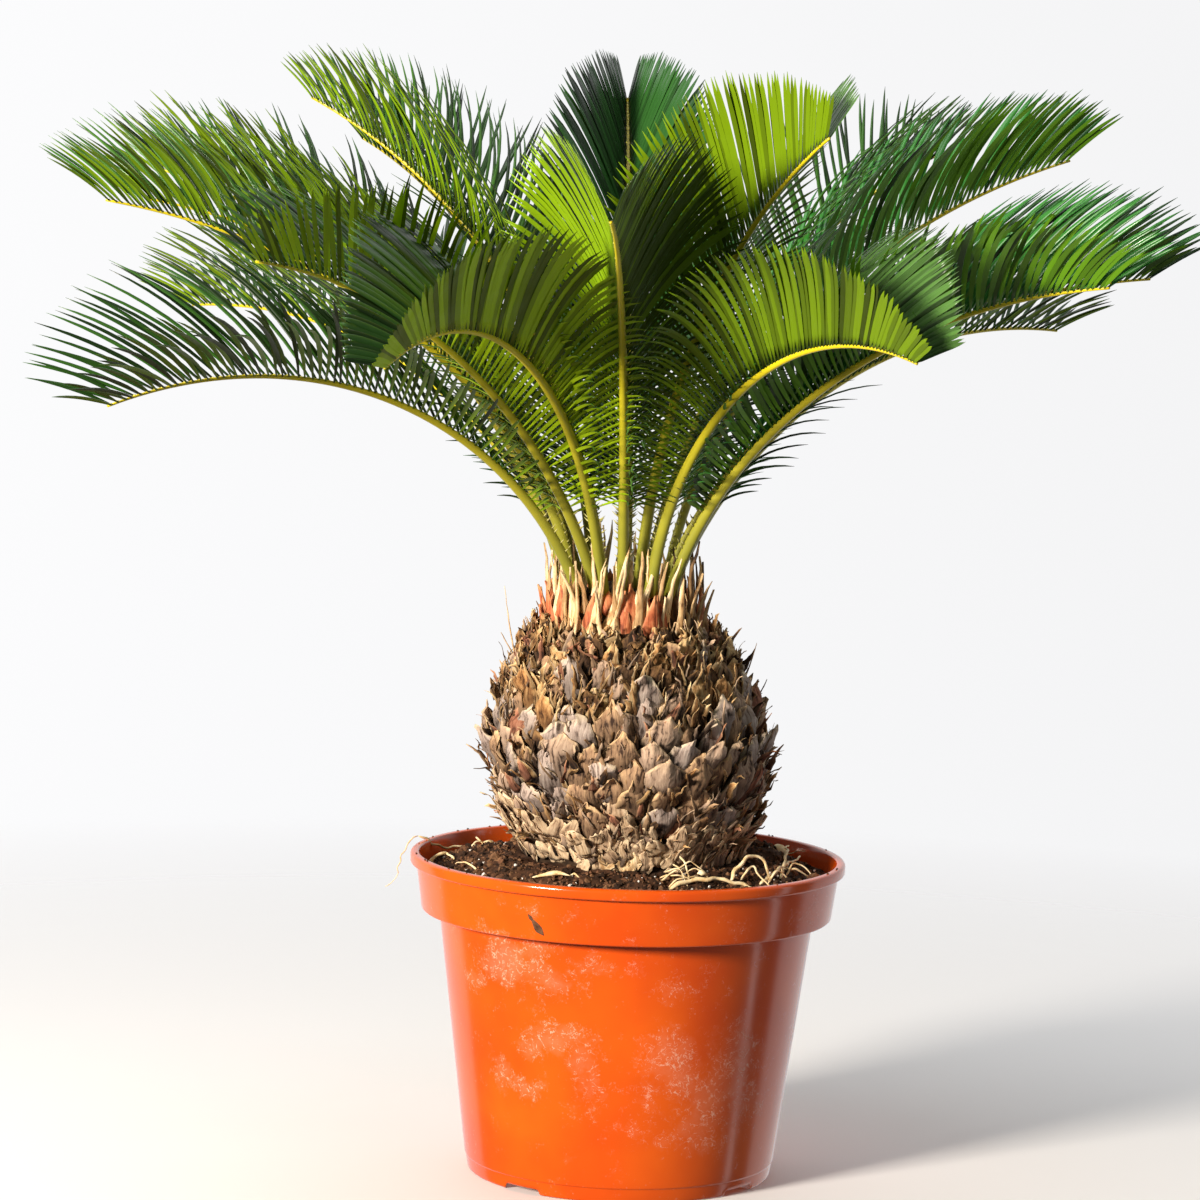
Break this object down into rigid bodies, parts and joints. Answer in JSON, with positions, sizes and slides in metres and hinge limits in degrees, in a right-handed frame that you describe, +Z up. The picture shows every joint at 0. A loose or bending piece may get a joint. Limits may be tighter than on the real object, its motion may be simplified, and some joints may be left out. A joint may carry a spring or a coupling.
{
  "type": "potted sago palm",
  "caption": "Sago palm with a stout scaly trunk and a full crown of arching feather-shaped fronds, standing in a round plastic nursery pot with a banded rim.",
  "frame": {"origin": "centre of the pot's flat underside", "axes": "+Z up through the pot and the trunk, front of the plant towards -Y, +X to the right seen from the front"},
  "size_m": [0.7083, 0.7736, 0.7296],
  "materials": {
    "pot": "glossy orange moulded polypropylene, scuffed and marked with lime",
    "soil": "dark crumbly potting mix with white perlite and fine pale roots",
    "trunk": "rough grey-brown leaf-base scales, straw-coloured and rust-brown at the crown",
    "frond": "leathery green leaflets with a satin gloss on yellow-green midribs"
  },
  "bodies": {
    "root": {"pot": "pot", "soil": "soil", "trunk": "trunk", "frond_01": "frond", "frond_02": "frond", "frond_03": "frond", "frond_04": "frond", "frond_05": "frond", "frond_06": "frond", "frond_07": "frond", "frond_08": "frond", "frond_09": "frond", "frond_10": "frond", "frond_11": "frond", "frond_12": "frond", "frond_13": "frond", "frond_14": "frond", "frond_15": "frond", "frond_16": "frond", "frond_17": "frond", "frond_18": "frond", "frond_19": "frond", "frond_20": "frond", "frond_21": "frond"}
  },
  "joints": []
}
